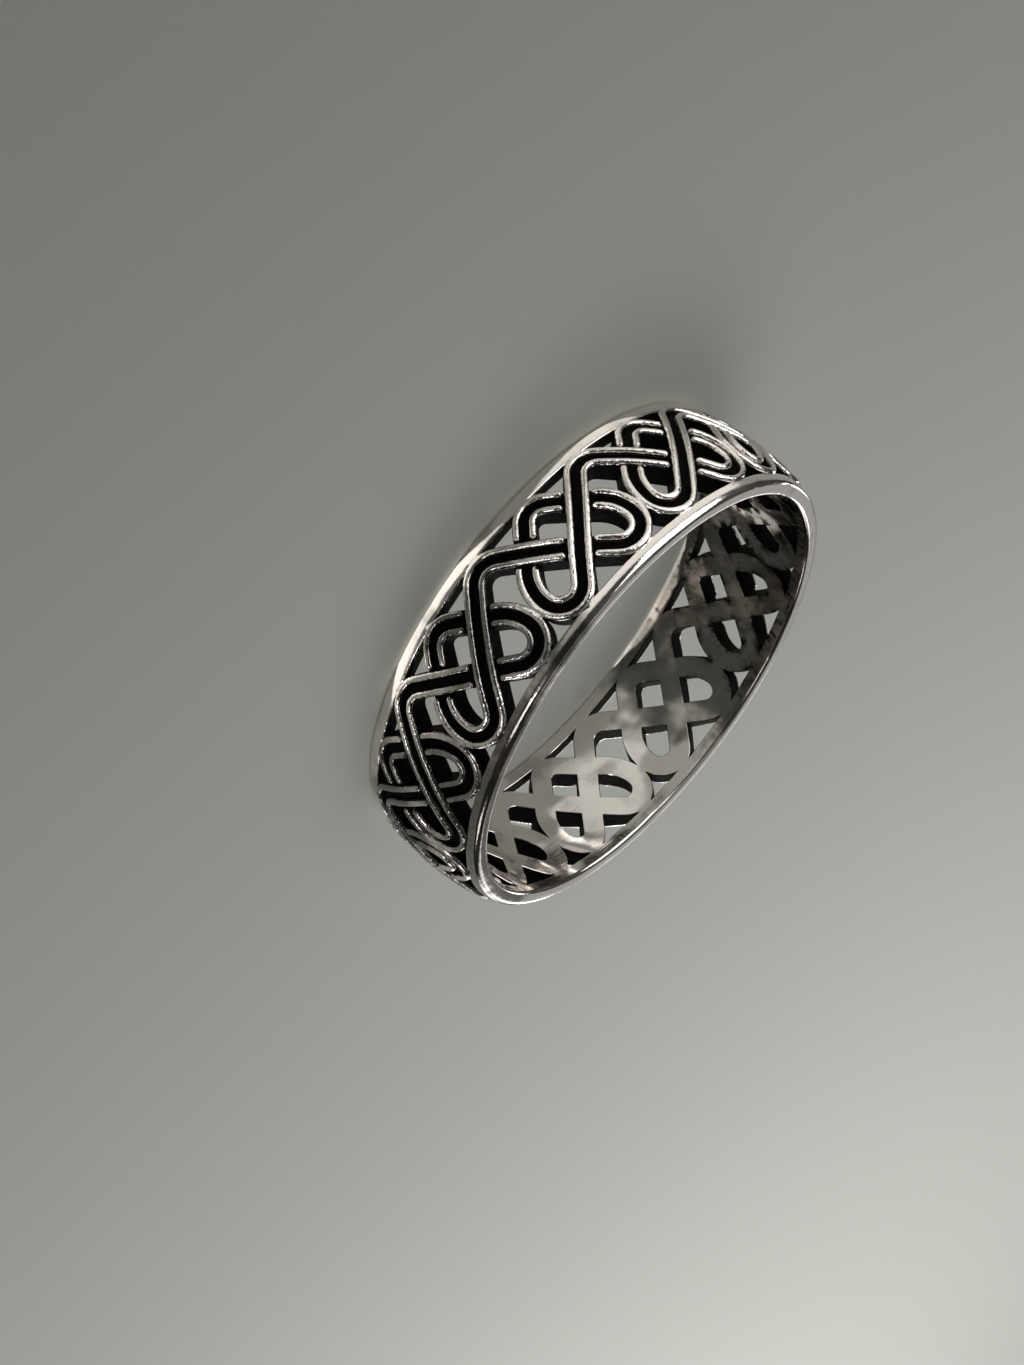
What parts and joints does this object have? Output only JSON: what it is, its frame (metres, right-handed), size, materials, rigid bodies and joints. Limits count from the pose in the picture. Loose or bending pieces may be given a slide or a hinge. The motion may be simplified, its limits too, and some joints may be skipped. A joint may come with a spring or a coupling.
{
  "type": "openwork knot band ring",
  "caption": "Finger ring with an openwork band of interlaced knotwork between two plain round-edged rims.",
  "frame": {"origin": "centre of the finger hole, level with the face of the lower rim that the ring lies on", "axes": "+Z along the finger hole; +X through the middle of a bend of the knot that rests on the lower rim"},
  "size_m": [0.022, 0.022, 0.006],
  "materials": {
    "silver": "polished silver on the raised wires, rims and hole, blackened in the channels and windows"
  },
  "bodies": {
    "root": {"band": "silver"}
  },
  "joints": []
}
